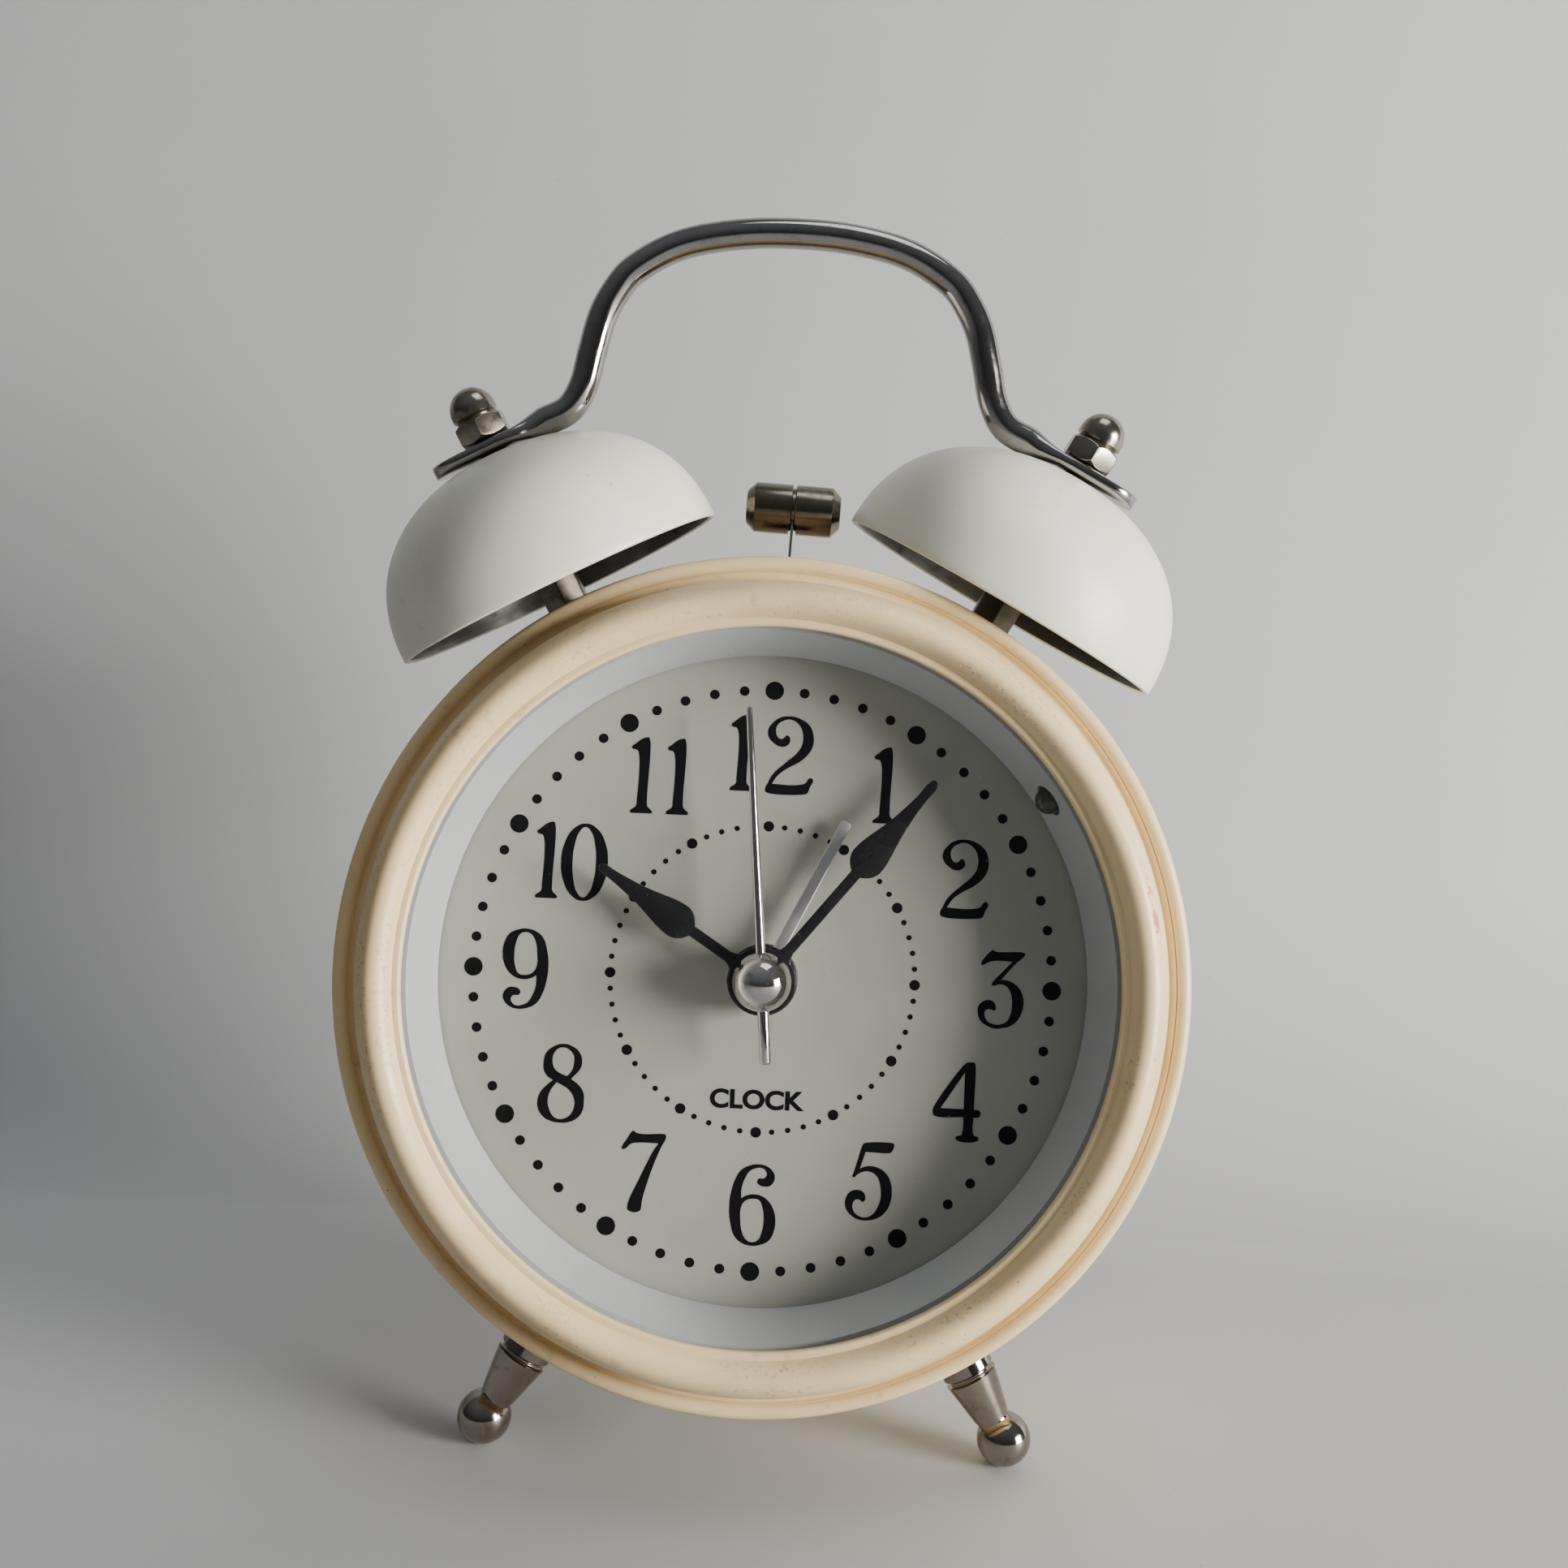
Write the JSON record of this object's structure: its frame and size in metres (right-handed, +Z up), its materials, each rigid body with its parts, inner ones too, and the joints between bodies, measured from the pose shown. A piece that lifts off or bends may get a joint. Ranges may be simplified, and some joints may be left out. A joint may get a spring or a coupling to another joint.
{
  "type": "alarm clock",
  "caption": "Twin-bell quartz alarm clock: round case with a broad bezel, two domed bells, a striker between them, a wire handle, turned ball feet and four hands.",
  "frame": {"origin": "middle of the clock's bounding box in plan, on the surface it stands on", "axes": "+Z up, +X to the right of someone who reads the dial, -Y towards that person; the dial leans back about 12 degrees"},
  "size_m": [0.115, 0.0738, 0.173],
  "materials": {
    "cream_paint": "satin cream paint, rubbed along the ridge",
    "white_paint": "satin off-white paint",
    "chrome": "bright plating",
    "nickel": "aged nickel plating",
    "steel": "plain zinc-plated steel",
    "dark_steel": "dark tarnished steel",
    "spring_steel": "bright spring steel",
    "glass": "clear flat glass",
    "dial_paper": "pale grey printed dial",
    "milky_plastic": "milky bluish translucent plastic",
    "black_plastic": "black plastic",
    "ivory_plastic": "moulded ivory plastic",
    "white_plastic": "moulded white plastic",
    "lamp_lens": "clear moulded lamp",
    "circuit_board": "green board",
    "copper": "enamelled copper winding",
    "soft_iron": "plain iron",
    "magnet": "dark magnet",
    "cell_jacket": "plain dark blue jacket, no lettering"
  },
  "bodies": {
    "root": {"alarm_contact": "white_plastic", "battery_cell": "cell_jacket", "bell_left": "white_paint", "bell_post_left": "dark_steel", "bell_post_right": "dark_steel", "bell_right": "white_paint", "bezel_ring": "cream_paint", "cap_nut_left": "nickel", "cap_nut_right": "nickel", "case_can": "cream_paint", "circuit_board": "circuit_board", "coil": "copper", "contact_minus": "spring_steel", "contact_plus": "spring_steel", "cover_screw_left": "steel", "cover_screw_right": "steel", "dial_plate": "dial_paper", "foot_left": "chrome", "foot_nut_left": "steel", "foot_nut_right": "steel", "foot_right": "chrome", "front_glass": "glass", "hammer_motor": "steel", "hammer_pin": "steel", "handle": "chrome", "lamp": "lamp_lens", "lamp_clip": "white_plastic", "light_contact": "white_plastic", "motor_bracket": "white_plastic", "movement_lid": "black_plastic", "movement_shell": "black_plastic", "post_nut_left": "steel", "post_nut_right": "steel", "rear_cover": "ivory_plastic", "reflector_ring": "milky_plastic", "stator": "soft_iron"},
    "minute": {"minute_arbor": "steel", "minute_hand": "black_plastic"},
    "hour": {"hour_wheel": "white_plastic", "hour_hand": "black_plastic"},
    "idler": {"idler_wheel": "white_plastic"},
    "time_knob": {"time_set_knob": "black_plastic"},
    "alarm": {"alarm_wheel": "white_plastic", "alarm_hand": "spring_steel"},
    "alarm_knob": {"alarm_set_knob": "black_plastic"},
    "second": {"seconds_wheel": "white_plastic", "second_hand": "chrome", "second_hand_cap": "chrome"},
    "centre": {"centre_wheel": "white_plastic"},
    "third": {"third_wheel": "white_plastic"},
    "relay": {"relay_wheel": "white_plastic"},
    "rotor": {"stepper_rotor": "magnet"},
    "striker": {"hammer_head": "nickel", "hammer_strip": "spring_steel", "hammer_arm": "white_plastic"},
    "cam": {"hammer_cam": "white_plastic"},
    "lamp_push": {"light_button": "black_plastic"},
    "alarm_slide": {"alarm_switch": "black_plastic"},
    "door": {"battery_door": "ivory_plastic"}
  },
  "joints": [
    {"name": "minute_turn", "type": "hinge", "parent": "root", "child": "minute", "pos_m": [0, -0.0112, 0.06757], "axis": [0, 0.9788, -0.2047], "continuous": true},
    {"name": "hour_turn", "type": "hinge", "parent": "root", "child": "hour", "pos_m": [0, -0.0112, 0.06757], "axis": [0, 0.9788, -0.2047], "continuous": true},
    {"name": "idler_turn", "type": "hinge", "parent": "root", "child": "idler", "pos_m": [-0.01156, -0.00486, 0.07054], "axis": [0, 0.9788, -0.2047], "continuous": true},
    {"name": "time_knob_turn", "type": "hinge", "parent": "root", "child": "time_knob", "pos_m": [-0.02271, 0.02315, 0.05938], "axis": [0, 0.9788, -0.2047], "continuous": true},
    {"name": "alarm_turn", "type": "hinge", "parent": "root", "child": "alarm", "pos_m": [0, -0.0112, 0.06757], "axis": [0, 0.9788, -0.2047], "continuous": true},
    {"name": "alarm_knob_turn", "type": "hinge", "parent": "root", "child": "alarm_knob", "pos_m": [0.0116, 0.02224, 0.05505], "axis": [0, 0.9788, -0.2047], "continuous": true},
    {"name": "second_turn", "type": "hinge", "parent": "root", "child": "second", "pos_m": [0, -0.0112, 0.06757], "axis": [0, 0.9788, -0.2047], "continuous": true},
    {"name": "centre_turn", "type": "hinge", "parent": "root", "child": "centre", "pos_m": [0, -0.0112, 0.06757], "axis": [0, 0.9788, -0.2047], "continuous": true},
    {"name": "third_turn", "type": "hinge", "parent": "root", "child": "third", "pos_m": [0.00149, -0.00197, 0.05699], "axis": [0, 0.9788, -0.2047], "continuous": true},
    {"name": "relay_turn", "type": "hinge", "parent": "root", "child": "relay", "pos_m": [0.00212, 0.00412, 0.07246], "axis": [0, 0.9788, -0.2047], "continuous": true},
    {"name": "rotor_turn", "type": "hinge", "parent": "root", "child": "rotor", "pos_m": [0.00818, 0.00484, 0.07589], "axis": [0, 0.9788, -0.2047], "continuous": true},
    {"name": "striker_swing", "type": "hinge", "parent": "root", "child": "striker", "pos_m": [0, 0.0073, 0.09742], "axis": [0, 0.9788, -0.2047], "range_deg": [-6.8, 2], "stiffness_Nm_per_rad": 0.02},
    {"name": "cam_turn", "type": "hinge", "parent": "root", "child": "cam", "pos_m": [-0.011, 0.00882, 0.10466], "axis": [0, 0.9788, -0.2047], "continuous": true},
    {"name": "lamp_push_in", "type": "slide", "parent": "root", "child": "lamp_push", "axis": [0, -0.9788, 0.2047], "range_m": [0, 0.0015], "stiffness_N_per_m": 300},
    {"name": "alarm_slide_on", "type": "slide", "parent": "root", "child": "alarm_slide", "axis": [1, 0, 0], "range_m": [0, 0.005]},
    {"name": "door_slide_down", "type": "slide", "parent": "root", "child": "door", "axis": [0, -0.2047, -0.9788], "range_m": [0, 0.015]}
  ],
  "couplings": [
    {"joint": "hour_turn", "follows": "minute_turn", "ratio": 0.083333},
    {"joint": "idler_turn", "follows": "minute_turn", "ratio": -0.33333},
    {"joint": "time_knob_turn", "follows": "minute_turn", "ratio": 1},
    {"joint": "alarm_knob_turn", "follows": "alarm_turn", "ratio": -4},
    {"joint": "third_turn", "follows": "second_turn", "ratio": -0.13333},
    {"joint": "centre_turn", "follows": "second_turn", "ratio": 0.016667},
    {"joint": "relay_turn", "follows": "second_turn", "ratio": -6},
    {"joint": "rotor_turn", "follows": "second_turn", "ratio": 30}
  ]
}
